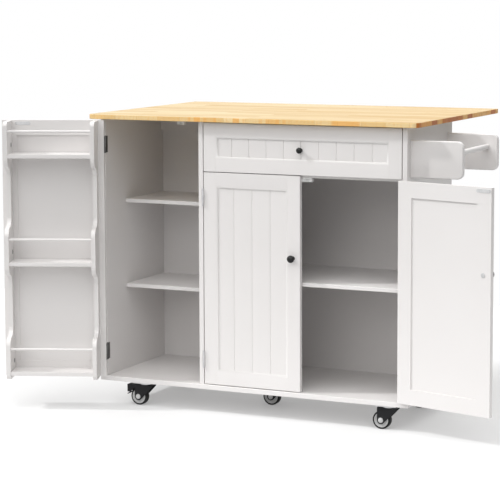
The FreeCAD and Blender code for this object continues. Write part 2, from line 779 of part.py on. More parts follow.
def spice_door():
    """The pieces of the spice door with its rack, closed."""
    x0, x1 = -inner_x + front_gap, divider_x0 - front_gap
    knob_x, knob_z = x1 - stile_width / 2, door_foot + knob_height
    frame = front_frame(x0, x1, door_foot, front_top).cut(knob_hole(knob_x, knob_z))
    body, screw = knob(knob_x, knob_z)
    catch_x = divider_x0 - spice_catch_inset - spice_catch_width / 2
    pieces = {
        "frame": [frame],
        "panel": [front_panel(x0, x1, door_foot, front_top, door_bead_pitch)],
        "knob": [body, screw],
        "strike": [strike(catch_x - strike_length / 2, catch_x + strike_length / 2, front_top)],
    }
    pieces.update(spice_rack(x0 + rack_margin, x1 - rack_margin))
    head = rod(screw_head_radius + fit_clearance, (knob_x, door_back_y, knob_z),
               (knob_x, door_back_y + screw_head_height + fit_clearance, knob_z))
    pieces["rack_sides"][1] = pieces["rack_sides"][1].cut(head)
    return pieces


# ---- drawer ----
box_x0 = divider_x1 + runner_space
box_x1 = inner_x - runner_space
box_z0 = rail_top + box_lift
bottom_z0 = box_z0 + drawer_bottom_lift
lip_top = box_z0 + drawer_bottom_lift - runner_sheet
roller_z = lip_top + roller_gap + roller_radius


def drawer_bottom():
    x0, x1 = box_x0 + box_thickness - drawer_groove, box_x1 - box_thickness + drawer_groove
    y0, y1 = door_back_y - drawer_groove, door_back_y + box_depth - box_thickness + drawer_groove
    return box(x0, x1, y0, y1, bottom_z0, bottom_z0 + drawer_bottom_thickness)


def drawer_box():
    """Two sides and the back, grooved for the bottom."""
    y1 = door_back_y + box_depth
    z1 = box_z0 + box_height
    boards = [
        box(box_x0, box_x0 + box_thickness, door_back_y, y1, box_z0, z1),
        box(box_x1 - box_thickness, box_x1, door_back_y, y1, box_z0, z1),
        box(box_x0 + box_thickness, box_x1 - box_thickness, y1 - box_thickness, y1, box_z0, z1),
    ]
    return [b.cut(drawer_bottom()) for b in boards]


def runner_in_cabinet():
    """The left cabinet runner: a plate on the divider with a lip, and its front roller."""
    x = divider_x1
    y0 = stop_y + runner_sheet
    lip = box(x + runner_sheet, x + runner_sheet + runner_lip, y0, y0 + runner_length, lip_top - runner_sheet, lip_top)
    plate = box(x, x + runner_sheet, y0, y0 + runner_length, lip_top - runner_sheet, roller_z + roller_radius)
    return plate.fuse(lip).removeSplitter(), runner_roller(x + runner_sheet, y0 + roller_end)


def runner_roller(x, y):
    return rod(roller_radius, (x, y, roller_z), (x + roller_width, y, roller_z))


def runner_on_box():
    """The left drawer runner: under and beside the box, with a flange over the rollers."""
    face = box_x0
    y0 = door_back_y + roller_gap
    y1 = y0 + runner_length
    flange_z = roller_z + roller_radius + roller_gap
    plate = box(face - runner_sheet, face, y0, y1, box_z0 - runner_sheet, flange_z + runner_sheet)
    foot = box(face, face + box_thickness, y0, y1, box_z0 - runner_sheet, box_z0)
    reach = runner_space - runner_sheet - roller_gap
    flange = box(face - reach, face - runner_sheet, y0, y1, flange_z, flange_z + runner_sheet)
    body = plate.fuse(foot).fuse(flange).removeSplitter()
    return body, runner_roller(face - runner_sheet - roller_width, y1 - roller_end)


# ---- towel rack ----
def towel_board_at(y_mid):
    z1 = top_under - towel_top_drop
    z0 = z1 - towel_height
    x1 = side_x + towel_reach
    half = towel_board / 2
    shape = box(side_x, x1, y_mid - half, y_mid + half, z0, z1)
    outer = [e for e in shape.Edges if on_plane(e, "X", x1) and abs(e.Vertexes[0].Y - e.Vertexes[1].Y) > 1]
    shape = shape.makeFillet(towel_corner, outer)
    along = [e for e in shape.Edges if on_plane(e, "Y", y_mid - half) or on_plane(e, "Y", y_mid + half)]
    shape = shape.makeFillet(towel_edge_round, [e for e in along if not on_plane(e, "X", side_x)])
    return shape.cut(towel_rod(fit_clearance))


def towel_rod(extra):
    x = side_x + towel_rod_reach
    z = top_under - towel_top_drop - towel_rod_drop
    end = towel_centre - towel_board / 2 + towel_rod_tenon + extra
    return rod(towel_rod_radius + extra, (x, -end, z), (x, end, z))


# ---- casters ----
axle_z = wheel_radius
fork_top = caster_height - fork_top_drop
fork_rear = caster_trail + fork_boss_radius
cheek_inner = wheel_width / 2 + fork_side_gap
cheek_outer = cheek_inner + fork_sheet


def caster_places():
    return {
        "front_left": (left_caster_x, front_caster_y),
        "front_right": (right_caster_x, front_caster_y),
        "rear_left": (left_caster_x, rear_caster_y),
        "rear_right": (right_caster_x, rear_caster_y),
        "middle": (middle_caster, 0.0),
    }


def caster_plate(x, y):
    """The plate under the base, the race and the kingpin that the fork turns on."""
    half = plate_size / 2
    under = caster_height - plate_thickness
    plate = box(x - half, x + half, y - half, y + half, under, caster_height)
    for i in (-1, 1):
        for j in (-1, 1):
            px, py = x + i * plate_hole_spacing / 2, y + j * plate_hole_spacing / 2
            plate = plate.cut(rod(plate_hole_radius, (px, py, under), (px, py, caster_height)))
    race_foot = fork_top + swivel_gap
    head_top = fork_top - fork_sheet - swivel_gap
    outline = [
        (x, y, under), (x + race_radius, y, under), (x + race_radius - race_taper, y, race_foot),
        (x + kingpin_radius, y, race_foot), (x + kingpin_radius, y, head_top),
        (x + kingpin_head_radius, y, head_top), (x + kingpin_head_radius, y, head_top - kingpin_head),
        (x, y, head_top - kingpin_head),
    ]
    return plate.fuse(turned(outline, (x, y, 0), (0, 0, 1))).removeSplitter()


def fork_outline(y):
    """A cheek's outline: level on top, upright behind, slanting to the axle's boss in front."""
    r = fork_boss_radius
    reach, rise = caster_trail + fork_front, fork_top - fork_lip - axle_z
    angle = atan2(rise, reach) - acos(r / hypot(reach, rise))
    touch = Vector(-caster_trail + r * cos(angle), y, axle_z + r * sin(angle))
    rear = Vector(-fork_rear, y, axle_z)
    turn_angle = (angle - pi) / 2
    low = Vector(-caster_trail + r * cos(turn_angle), y, axle_z + r * sin(turn_angle))
    corners = [rear, Vector(-fork_rear, y, fork_top), Vector(fork_front, y, fork_top),
               Vector(fork_front, y, fork_top - fork_lip), touch]
    edges = [Part.makeLine(a, b) for a, b in zip(corners[:-1], corners[1:])]
    edges.append(Part.Arc(touch, low, rear).toShape())
    return Part.Face(Part.Wire(edges))


def caster_fork(x, y, has_pedal):
    """The pressed fork and its axle bolt, trailing to the left."""
    block = fork_outline(-cheek_outer).extrude(Vector(0, 2 * cheek_outer, 0))
    block = rounded(block, fork_bend_radius,
                    lambda e: on_plane(e, "Z", fork_top) and abs(e.Vertexes[0].X - e.Vertexes[1].X) > 1)
    inside = box(-2 * fork_rear, 2 * fork_front, -cheek_inner, cheek_inner, 0, fork_top - fork_sheet)
    fork = block.cut(inside)
    fork = fork.cut(rod(kingpin_radius + axle_clearance, (0, 0, axle_z), (0, 0, caster_height)))
    fork = fork.cut(axle_bolt(fit_clearance))
    if has_pedal:
        end = cheek_outer + 1
        hole = rod(pedal_pin_radius + axle_clearance, (pedal_x, -end, pedal_z), (pedal_x, end, pedal_z))
        fork = fork.cut(hole)
    return moved(fork, x, y), moved(axle_bolt(0).fuse(axle_caps()), x, y)


def axle_bolt(extra):
    return rod(axle_radius + extra, (-caster_trail, -cheek_outer, axle_z), (-caster_trail, cheek_outer, axle_z))


def axle_caps():
    front = rod(axle_cap_radius, (-caster_trail, -cheek_outer, axle_z),
                (-caster_trail, -cheek_outer - axle_cap_height, axle_z))
    back = rod(axle_cap_radius, (-caster_trail, cheek_outer, axle_z),
               (-caster_trail, cheek_outer + axle_cap_height, axle_z))
    return front.fuse(back)


def moved(shape, x, y):
    copy = shape.copy()
    copy.translate(Vector(x, y, 0))
    return copy


def caster_wheel(x, y):
    """The dished hub and the tyre round it, turned about the axle."""
    hub_radius = wheel_radius - tyre_thickness
    half = hub_width / 2
    dish = half - hub_dish_depth
    rim = hub_radius - hub_rim
    bore = axle_radius + axle_clearance
    side = [(bore, half), (hub_boss_radius, half), (hub_boss_radius + hub_slope, dish), (rim - hub_slope, dish),
            (rim, half), (hub_radius, half)]
    outline = side + [(r, -w) for r, w in reversed(side)]
    axis = (-caster_trail, 0, axle_z)
    hub = turned([(-caster_trail + r, w, axle_z) for r, w in outline], axis, (0, 1, 0))
    width = wheel_width / 2
    inner = hub_radius + fit_clearance
    shoulder = tyre_thickness / 2
    tread = [(inner, -width), (wheel_radius - shoulder, -width)]
    for i in range(1, 4):
        angle = i * pi / 6
        tread.append((wheel_radius - shoulder + shoulder * sin(angle), -width + shoulder * (1 - cos(angle))))
    tread = tread + [(r, -w) for r, w in reversed(tread)]
    tyre = turned([(-caster_trail + r, w, axle_z) for r, w in tread], axis, (0, 1, 0))
    return moved(hub, x, y), moved(tyre, x, y)


pedal_x = -fork_rear + pedal_barrel_radius + pedal_pin_edge
pedal_z = fork_top - fork_sheet - pedal_barrel_radius - pedal_pin_edge


def brake_pedal(x, y):
    """A hood behind the wheel with a tongue for the foot, on a pin between the cheeks."""
    half = cheek_inner - 2 * swivel_gap
    left = -fork_rear - pedal_reach
    right = -fork_rear - swivel_gap
    top = pedal_z + pedal_barrel_radius
    hood = box(left, right, -half, half, top - pedal_drop, top)
    inside = box(left + pedal_sheet, right + pedal_sheet, -half + fork_sheet, half - fork_sheet,
                 top - 2 * pedal_drop, top - pedal_sheet)
    hood = hood.cut(inside)
    hood = hood.fuse(box(right, pedal_x, -half, half, top - pedal_sheet, top))
    lean = pedal_angle * pi / 180
    root = (left + pedal_root, top - pedal_drop + pedal_sheet)
    tip = (root[0] - pedal_tongue * cos(lean), root[1] - pedal_tongue * sin(lean))
    up = (pedal_sheet * sin(lean), -pedal_sheet * cos(lean))
    outline = [root, tip, (tip[0] + up[0], tip[1] + up[1]), (root[0] + up[0], root[1] + up[1])]
    tongue = flat([(px, -half, pz) for px, pz in outline], (0, 2 * half, 0))
    hood = hood.fuse(tongue)
    hood = hood.fuse(rod(pedal_barrel_radius, (pedal_x, -half, pedal_z), (pedal_x, half, pedal_z)))
    hood = hood.fuse(rod(pedal_pin_radius, (pedal_x, -cheek_outer, pedal_z), (pedal_x, cheek_outer, pedal_z)))
    sweep = wheel_radius + pedal_wheel_gap
    clear = rod(sweep, (-caster_trail, -cheek_outer, axle_z), (-caster_trail, cheek_outer, axle_z))
    return moved(hood.cut(clear).removeSplitter(), x, y)


# ---- the pieces, written one node to a file ----
def save_cabinet():
    save("base_panel", base_panel())
    save("left_side_panel", side_panel(-1))
    save("right_side_panel", side_panel(1))
    save("divider_panel", divider_panel())
    save("back_panels", *back_panels())
    save("rear_rails", *rear_rails())
    save("drawer_rail", drawer_rail())
    save("cabinet_shelves", *[shelf_board(*row) for row in shelves()])
    save("shelf_pins", *shelf_pins())
    save("towel_rack_boards", towel_board_at(-towel_centre), towel_board_at(towel_centre))
    save("towel_rod", towel_rod(0))
    catch_x1 = divider_x0 - spice_catch_inset
    catch_x0 = catch_x1 - spice_catch_width
    spice_catch = catch(catch_x0, catch_x1, top_under, [(catch_x0 + catch_x1) / 2])
    half = pair_catch_width / 2
    pair_catch = catch(pair_middle - half, pair_middle + half, rail_under, [pair_middle - half / 2, pair_middle + half / 2])
    save("magnetic_catches", spice_catch, pair_catch)


def save_top():
    save("worktop", worktop())
    save("drop_leaf", drop_leaf())
    fixed = [leaf_hinge(x, -1, 0) for x in leaf_hinge_places]
    pins = [leaf_hinge_pin(x) for x in leaf_hinge_places]
    save("leaf_hinge_top_plates", *fixed, *pins)
    save("leaf_hinge_leaf_plates", *[leaf_hinge(x, 1, 1) for x in leaf_hinge_places])
    save("stay_legs", *[stay_leg(x) for x in stay_places])
    save("stay_lugs", *[stay_lug(x) for x in stay_places])
    save("leaf_stays", *[stay(x) for x in stay_places])


def save_doors():
    doors = {
        "spice_door": (spice_door(), -inner_x, False, front_top, -spice_open),
        "left_door": (pair_door(drawer_x0, True), divider_x1, False, door_top, 0.0),
        "right_door": (pair_door(drawer_x1 - pair_door_width, False), inner_x, True, door_top, right_open),
    }
    cabinet_leaves = []
    for name, (pieces, jamb_x, flip, top, angle) in doors.items():
        cabinet, pins, moving = door_hinges(jamb_x, door_foot, top)
        axis_x = jamb_x + front_gap / 2
        if flip:
            cabinet, pins, moving = ([mirror_x(s, jamb_x) for s in group] for group in (cabinet, pins, moving))
            axis_x = jamb_x - front_gap / 2
        cabinet_leaves = cabinet_leaves + cabinet + pins
        pieces["hinge_leaves"] = moving
        for piece, solids in pieces.items():
            node = ("spice_" if piece.startswith("rack") else name + "_") + piece
            save(node, *[turn(s, axis_x, hinge_axis_y, angle) for s in solids])
    save("door_hinge_cabinet_leaves", *cabinet_leaves)


def save_drawer():
    x0, x1 = drawer_x0, drawer_x1
    knob_x, knob_z = (x0 + x1) / 2, (drawer_foot + front_top) / 2
    frame = front_frame(x0, x1, drawer_foot, front_top).cut(drawer_bottom())
    panel = front_panel(x0, x1, drawer_foot, front_top, drawer_bead_pitch)
    save("drawer_front_frame", frame)
    save("drawer_front_panel", panel.cut(knob_hole(knob_x, knob_z)))
    save("drawer_knob", *drawer_knob(knob_x, knob_z))
    save("drawer_box", *drawer_box())
    save("drawer_bottom", drawer_bottom())
    middle = (divider_x1 + inner_x) / 2
    fixed, moving = list(runner_in_cabinet()), list(runner_on_box())
    save("cabinet_runners", *fixed, *[mirror_x(s, middle) for s in fixed])
    save("drawer_runners", *moving, *[mirror_x(s, middle) for s in moving])


def drawer_knob(x, z):
    """The drawer's knob stands on its sunk panel, so the whole piece is set back by the recess."""
    body, screw = knob(x, z, drawer_knob_share)
    body.translate(Vector(0, panel_recess, 0))
    back = front_y + panel_recess + panel_thickness
    tip = front_y + panel_recess - drawer_knob_share * knob_length / 2
    screw = rod(knob_screw_radius, (x, tip + knob_screw_end, z), (x, back, z))
    head = rod(screw_head_radius, (x, back, z), (x, back + screw_head_height, z))
    return body, screw.fuse(head)


def save_casters():
    places = caster_places()
    save("caster_plates", *[caster_plate(x, y) for x, y in places.values()])
    for name, (x, y) in places.items():
        save("caster_" + name + "_fork", *caster_fork(x, y, name == "front_left"))
        save("caster_" + name + "_wheel", *caster_wheel(x, y))
    save("caster_brake_pedal", brake_pedal(left_caster_x, front_caster_y))


os.makedirs("parts", exist_ok=True)
save_cabinet()
save_top()
save_doors()
save_drawer()
save_casters()
print("the leaf's 90 degrees turn the stays by %.4f degrees in the leaf" % degrees(stay_turn))
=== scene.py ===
# %% [markdown]
# # A drop leaf kitchen island
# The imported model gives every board, hinge and caster at its real size and place.
# This lesson dresses it for a studio picture: a camera first, then one finish after
# another, then the pieces that wear them, and last a floor and lights.

import json
import math

import bmesh
import bpy
from mathutils import Matrix, Vector


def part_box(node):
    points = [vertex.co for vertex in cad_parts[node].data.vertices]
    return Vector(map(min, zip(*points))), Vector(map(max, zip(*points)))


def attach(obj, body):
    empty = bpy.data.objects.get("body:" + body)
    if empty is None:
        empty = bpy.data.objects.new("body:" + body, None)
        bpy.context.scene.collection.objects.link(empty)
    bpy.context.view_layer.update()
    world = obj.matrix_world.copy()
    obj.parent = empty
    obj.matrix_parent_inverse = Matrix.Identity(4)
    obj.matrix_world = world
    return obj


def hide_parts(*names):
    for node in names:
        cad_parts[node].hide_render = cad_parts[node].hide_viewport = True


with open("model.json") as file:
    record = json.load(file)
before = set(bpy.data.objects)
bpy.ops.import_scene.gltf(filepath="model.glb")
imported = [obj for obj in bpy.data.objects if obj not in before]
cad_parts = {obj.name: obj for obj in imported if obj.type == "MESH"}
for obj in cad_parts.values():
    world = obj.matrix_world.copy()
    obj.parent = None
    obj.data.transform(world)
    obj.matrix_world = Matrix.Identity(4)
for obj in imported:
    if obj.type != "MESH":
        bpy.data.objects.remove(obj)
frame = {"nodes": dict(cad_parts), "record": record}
nodes = frame["nodes"]
body_of = {n: body for body, group in frame["record"]["behaviour"]["bodies"].items() for n in group}
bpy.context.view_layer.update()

# %% [markdown]
# The picture was taken with a long lens from the front right, a little above the worktop.
# A camera's matrix has its right, up and backward directions as columns, so these are
# worked out from the turn, the tilt and the roll. Uprights in the picture are nearly
# parallel, which a small downward shift of the film helps to keep.

# %% Camera
camera_place = Vector((2.4871, -5.4420, 1.3019))
camera_turn = math.radians(25.325)
camera_tilt = math.radians(6.201)
camera_roll = math.radians(-0.191)
camera_lens = 138.55
camera_shift = -0.1


def add_camera():
    camera = bpy.data.objects.new("camera", bpy.data.cameras.new("camera"))
    bpy.context.scene.collection.objects.link(camera)
    level = Vector((math.cos(camera_turn), math.sin(camera_turn), 0))
    ahead = Vector((-math.sin(camera_turn) * math.cos(camera_tilt),
                    math.cos(camera_turn) * math.cos(camera_tilt), -math.sin(camera_tilt)))
    above = level.cross(ahead)
    right = level * math.cos(camera_roll) + above * math.sin(camera_roll)
    up = above * math.cos(camera_roll) - level * math.sin(camera_roll)
    turn = Matrix((right, up, -ahead)).transposed().to_4x4()
    camera.matrix_world = Matrix.Translation(camera_place) @ turn
    camera.data.lens = camera_lens
    camera.data.sensor_width = 36
    camera.data.shift_y = camera_shift
    camera.data.clip_end = 500
    bpy.context.scene.camera = camera


add_camera()

# %% [markdown]
# Every finish starts from the same few nodes, so helpers add a node, and link a colour
# or a roughness made from noise. All patterns read Object coordinates, which are the
# island's own metres, so they keep their scale on every piece and ride along with doors.

# %% Helpers for the finishes
def new_finish(name, colour, roughness, metallic=0.0):
    finish = bpy.data.materials.new(name)
    finish.use_nodes = True
    surface = finish.node_tree.nodes["Principled BSDF"]
    surface.inputs["Base Color"].default_value = (*colour, 1)
    surface.inputs["Roughness"].default_value = roughness
    surface.inputs["Metallic"].default_value = metallic
    return finish, surface


def add(finish, kind, values=(), **settings):
    """A node of a kind, with some of its inputs and settings."""
    node = finish.node_tree.nodes.new("ShaderNode" + kind)
    for key, value in settings.items():
        setattr(node, key, value)
    for key, value in dict(values).items():
        node.inputs[key].default_value = value
    return node


def join(finish, start, end):
    finish.node_tree.links.new(start, end)


def place_in(finish, scale=(1, 1, 1)):
    """The piece's own metres, stretched."""
    coords = add(finish, "TexCoord")
    mapping = add(finish, "Mapping", {"Scale": scale})
    join(finish, coords.outputs["Object"], mapping.inputs["Vector"])
    return mapping.outputs["Vector"]


def noise(finish, scale, stretch=(1, 1, 1), detail=3.0, distortion=0.0):
    made = add(finish, "TexNoise", {"Scale": scale, "Detail": detail, "Distortion": distortion})
    join(finish, place_in(finish, stretch), made.inputs["Vector"])
    return made.outputs["Fac"]


def between(finish, value, low, high, low_at=0.3, high_at=0.7):
    """A value's range mapped to another one."""
    made = add(finish, "MapRange", {"From Min": low_at, "From Max": high_at, "To Min": low, "To Max": high})
    join(finish, value, made.inputs["Value"])
    return made.outputs["Result"]


def tint(finish, value, stops):
    """A colour ramp: stops are (place, colour)."""
    ramp = add(finish, "ValToRGB")
    band = ramp.color_ramp
    while len(band.elements) < len(stops):
        band.elements.new(0.5)
    for element, (at, colour) in zip(band.elements, stops):
        element.position = at
        element.color = (*colour, 1)
    join(finish, value, ramp.inputs["Fac"])
    return ramp.outputs["Color"]


def mixed(finish, share, a, b, how="MIX"):
    """Two colours mixed; share is a socket or a number."""
    made = add(finish, "Mix", data_type="RGBA", blend_type=how)
    for socket, value in ((made.inputs[0], share), (made.inputs[6], a), (made.inputs[7], b)):
        if isinstance(value, bpy.types.NodeSocket):
            join(finish, value, socket)
        else:
            socket.default_value = value if isinstance(value, float) else (*value, 1)
    return made.outputs[2]


def relief(finish, surface, height, distance, strength=1.0):
    made = add(finish, "Bump", {"Distance": distance, "Strength": strength})
    join(finish, height, made.inputs["Height"])
    join(finish, made.outputs["Normal"], surface.inputs["Normal"])


print("helpers ready")

# %% [markdown]
# The boards are sprayed with a satin white lacquer. Spray paint is never quite even:
# its gloss wanders over a hand's width, and close up it has a fine skin like an orange.
# A wide noise moves the roughness and the white by a touch, and a fine one is the skin.

# %% White lacquer
def white_lacquer():
    finish, surface = new_finish("white lacquer", (0.72, 0.70, 0.69), 0.45)
    drift = noise(finish, 2.5, detail=2.0)
    join(finish, tint(finish, drift, [(0.3, (0.708, 0.687, 0.676)), (0.7, (0.732, 0.712, 0.702))]),
         surface.inputs["Base Color"])
    join(finish, between(finish, noise(finish, 9.0), 0.38, 0.5), surface.inputs["Roughness"])
    surface.inputs["Coat Weight"].default_value = 0.08
    surface.inputs["Coat Roughness"].default_value = 0.3
    relief(finish, surface, noise(finish, 650.0, detail=2.0), 0.00005, 0.3)
    return finish


white = white_lacquer()
print(white.name)

# %% [markdown]
# The top is glued up from strips of pale wood that run along the island, each strip from
# shorter staves. A brick pattern is a good stave map: black and white bricks give each
# stave one random grey, which picks its tone and also shifts its grain, so no line of
# grain crosses a glue joint.

# %% Wood: the faces
stave_width = 0.046
stave_length = 0.41
stave_tones = [(0.0, (0.50, 0.34, 0.14)), (0.3, (0.58, 0.44, 0.23)), (0.6, (0.64, 0.52, 0.31)),
               (1.0, (0.54, 0.39, 0.17))]
streak_tone = (0.46, 0.28, 0.10)
pore_tone = (0.30, 0.18, 0.07)
glue_tone = (0.34, 0.19, 0.07)
# Painted shade: a darker, warmer tone that the top takes towards its right end.
right_end_shade_tone = (0.54, 0.36, 0.13)


def bricks(finish, vector, width, height, joint, offset=0.43):
    made = add(finish, "TexBrick", {"Color1": (0, 0, 0, 1), "Color2": (1, 1, 1, 1), "Scale": 1.0,
                                    "Mortar Size": joint, "Mortar Smooth": 0.3, "Brick Width": width,
                                    "Row Height": height})
    made.offset = offset
    join(finish, vector, made.inputs["Vector"])
    return made.outputs["Color"], made.outputs["Fac"]


def maths(finish, operation, a, b=0.0):
    made = add(finish, "Math", operation=operation)
    for socket, value in zip(made.inputs, (a, b)):
        if isinstance(value, bpy.types.NodeSocket):
            join(finish, value, socket)
        else:
            socket.default_value = value
    return made.outputs[0]


def vector_of(finish, x=0.0, y=0.0, z=0.0):
    made = add(finish, "CombineXYZ")
    for socket, value in zip(made.inputs, (x, y, z)):
        if isinstance(value, bpy.types.NodeSocket):
            join(finish, value, socket)
        else:
            socket.default_value = value
    return made.outputs[0]


def parts_of_vector(finish, vector):
    made = add(finish, "SeparateXYZ")
    join(finish, vector, made.inputs[0])
    return made.outputs


def noise_at(finish, vector, detail=4.0, distortion=0.0):
    made = add(finish, "TexNoise", {"Scale": 1.0, "Detail": detail, "Distortion": distortion})
    join(finish, vector, made.inputs["Vector"])
    return made.outputs["Fac"]


def stave_faces(finish, x, y, z):
    """The top and the underside: long staves, soft streaks, fine pores and thin glue lines."""
    stave, glue = bricks(finish, vector_of(finish, x, y), stave_length, stave_width, 0.0004)
    across = maths(finish, "ADD", maths(finish, "MULTIPLY", y, 46.0), maths(finish, "MULTIPLY", stave, 9.0))
    grain = noise_at(finish, vector_of(finish, maths(finish, "MULTIPLY", x, 2.4), across,
                                       maths(finish, "MULTIPLY", z, 42.0)), 5.0, 0.7)
    pores = noise(finish, 1.0, (26.0, 900.0, 900.0), 2.0)
    face = tint(finish, stave, stave_tones)
    # Painted shade: the top darkens and warms towards its right end, so its left end reads as lit by a sheen
    # from the left.
    face = mixed(finish, between(finish, x, 0.0, 0.4, -0.3, 0.6), face, right_end_shade_tone)
    face = mixed(finish, between(finish, grain, 0.0, 0.8, 0.46, 0.72), face, streak_tone)
    face = mixed(finish, between(finish, pores, 0.0, 0.18, 0.55, 0.8), face, pore_tone)
    return mixed(finish, maths(finish, "MULTIPLY", glue, 0.4), face, glue_tone), grain, pores


print("stave faces")

# %% [markdown]
# Along the front the outermost strip shows its side, with narrow finger joints in a warmer
# brown over its middle and one orange piece right of them. The short ends show end grain,
# one dark block for each strip. The normal tells a face from an edge, so the rounded
# corners come out right as well.

# %% Wood: the edges
finger_width = 0.011
finger_stretch = (-0.20, 0.14)
orange_stretch = (0.275, 0.375)
block_width = 0.075
front_tones = [(0.0, (0.76, 0.52, 0.23)), (0.45, (0.84, 0.65, 0.36)), (0.75, (0.80, 0.60, 0.31)),
               (1.0, (0.76, 0.48, 0.19))]
finger_tone = (0.80, 0.40, 0.10)
end_tones = [(0.0, (0.44, 0.13, 0.025)), (0.4, (0.56, 0.20, 0.04)), (0.5, (0.84, 0.50, 0.17)),
             (1.0, (0.70, 0.33, 0.08))]
end_fibre_tone = (0.38, 0.14, 0.03)


def one_row(finish, along, width, joint):
    """Blocks of a width side by side. Half a row up is clear of the joints between rows."""
    return bricks(finish, vector_of(finish, along, 0.5), width, 1.0, joint, 0.0)


def within(finish, value, stretch, fade=0.01):
    """One between the ends of the stretch, and none outside."""
    start, end = stretch
    return maths(finish, "MULTIPLY", between(finish, value, 0.0, 1.0, start, start + fade),
                 between(finish, value, 1.0, 0.0, end - fade, end))


def fibres(finish, along, block, z, across_rate, block_rate, up_rate):
    """A noise of fibres that stands up along an edge, and starts anew in each block."""
    parts = ((along, across_rate), (block, block_rate), (z, up_rate))
    stretched = [maths(finish, "MULTIPLY", part, rate) for part, rate in parts]
    return noise_at(finish, vector_of(finish, *stretched))


def stave_front(finish, x, z):
    block, seam = one_row(finish, x, block_width, 0.0005)
    finger, _ = one_row(finish, x, finger_width, 0.0002)
    fibre = fibres(finish, x, block, z, 150.0, 7.0, 60.0)
    fingers = maths(finish, "MULTIPLY", within(finish, x, finger_stretch),
                    between(finish, finger, 0.0, 0.8, 0.3, 0.9))
    front = tint(finish, block, front_tones)
    front = mixed(finish, fingers, front, finger_tone)
    orange = maths(finish, "MULTIPLY", within(finish, x, orange_stretch), 0.75)
    front = mixed(finish, orange, front, finger_tone)
    front = mixed(finish, between(finish, fibre, 0.0, 0.4, 0.5, 0.75), front, finger_tone)
    return mixed(finish, maths(finish, "MULTIPLY", seam, 0.4), front, end_fibre_tone)


def stave_ends(finish, y, z):
    block, seam = one_row(finish, y, stave_width, 0.0006)
    fibre = fibres(finish, y, block, z, 240.0, 5.0, 70.0)
    ends = tint(finish, block, end_tones)
    ends = mixed(finish, between(finish, fibre, 0.0, 0.6, 0.45, 0.75), ends, end_fibre_tone)
    return mixed(finish, maths(finish, "MULTIPLY", seam, 0.5), ends, end_fibre_tone)


def oiled_staves():
    finish, surface = new_finish("oiled staves", (0.84, 0.67, 0.41), 0.42)
    x, y, z = parts_of_vector(finish, place_in(finish))
    facing = add(finish, "TexCoord").outputs["Normal"]
    to_x, to_y, to_z = [maths(finish, "ABSOLUTE", part) for part in parts_of_vector(finish, facing)]
    face, grain, pores = stave_faces(finish, x, y, z)
    at_end = maths(finish, "GREATER_THAN", to_x, to_y)
    edge = mixed(finish, at_end, stave_front(finish, x, z), stave_ends(finish, y, z))
    at_edge = maths(finish, "LESS_THAN", to_z, 0.6)
    join(finish, mixed(finish, at_edge, face, edge), surface.inputs["Base Color"])
    join(finish, between(finish, grain, 0.38, 0.52), surface.inputs["Roughness"])
    surface.inputs["Specular IOR Level"].default_value = 0.2
    relief(finish, surface, pores, 0.0001, 0.25)
    return finish


oiled = oiled_staves()
print(oiled.name, "with staves", round(stave_width * 1000), "mm wide")

# %% [markdown]
# Small metal and plastic parts. Bright zinc is drawn sheet, so fine lines run one way.
# The black parts are nearly black, not quite, and their gloss tells lacquered metal from
# moulded plastic and from rubber.

# %% Metals, plastics and rubber
def zinc_sheet(name, low, high):
    finish, surface = new_finish(name, high, 0.32, 1.0)
    lines = noise(finish, 1.0, (900.0, 900.0, 25.0), 2.0)
    join(finish, between(finish, lines, 0.26, 0.44), surface.inputs["Roughness"])
    join(finish, tint(finish, noise(finish, 40.0), [(0.35, low), (0.7, high)]), surface.inputs["Base Color"])
    relief(finish, surface, lines, 0.00003, 0.4)
    return finish


def black_lacquer():
    finish, surface = new_finish("black lacquered metal", (0.012, 0.012, 0.012), 0.33)
    join(finish, between(finish, noise(finish, 60.0), 0.26, 0.4), surface.inputs["Roughness"])
    blacks = [(0.3, (0.006, 0.006, 0.006)), (0.7, (0.012, 0.012, 0.012))]
    join(finish, tint(finish, noise(finish, 25.0), blacks), surface.inputs["Base Color"])
    surface.inputs["Specular IOR Level"].default_value = 0.2
    surface.inputs["Coat Weight"].default_value = 0.1
    surface.inputs["Coat Roughness"].default_value = 0.15
    relief(finish, surface, noise(finish, 900.0), 0.00003, 0.3)
    return finish


def moulded(name, dark, light, rough_low, rough_high):
    finish, surface = new_finish(name, light, rough_high)
    join(finish, tint(finish, noise(finish, 30.0), [(0.3, dark), (0.7, light)]), surface.inputs["Base Color"])
    join(finish, between(finish, noise(finish, 120.0), rough_low, rough_high), surface.inputs["Roughness"])
    surface.inputs["Specular IOR Level"].default_value = 0.2
    relief(finish, surface, noise(finish, 1400.0, detail=1.0), 0.00004, 0.4)
    return finish


zinc = zinc_sheet("bright zinc", (0.52, 0.52, 0.53), (0.66, 0.66, 0.66))
# A darker copy of the bright zinc: painted shade for fittings that sit in shadow.
shaded_zinc = zinc_sheet("shaded zinc", (0.10, 0.10, 0.10), (0.18, 0.18, 0.175))
black_metal = black_lacquer()
black_plastic = moulded("black moulded plastic", (0.008, 0.008, 0.009), (0.014, 0.014, 0.015), 0.4, 0.52)
tyre_rubber = moulded("black tyre rubber", (0.006, 0.006, 0.006), (0.012, 0.012, 0.012), 0.55, 0.72)
hub_plastic = moulded("grey hub plastic", (0.50, 0.50, 0.50), (0.58, 0.58, 0.575), 0.35, 0.5)
white_plastic = moulded("white catch plastic", (0.74, 0.74, 0.73), (0.80, 0.80, 0.79), 0.35, 0.45)
finish_of_slot = {"white_paint": white, "top_wood": oiled, "hinge_steel": zinc, "black_metal": black_metal,
                  "black_plastic": black_plastic, "grey_hub": hub_plastic, "white_plastic": white_plastic,
                  "drawer_runner": white}
print(len(finish_of_slot), "finishes")
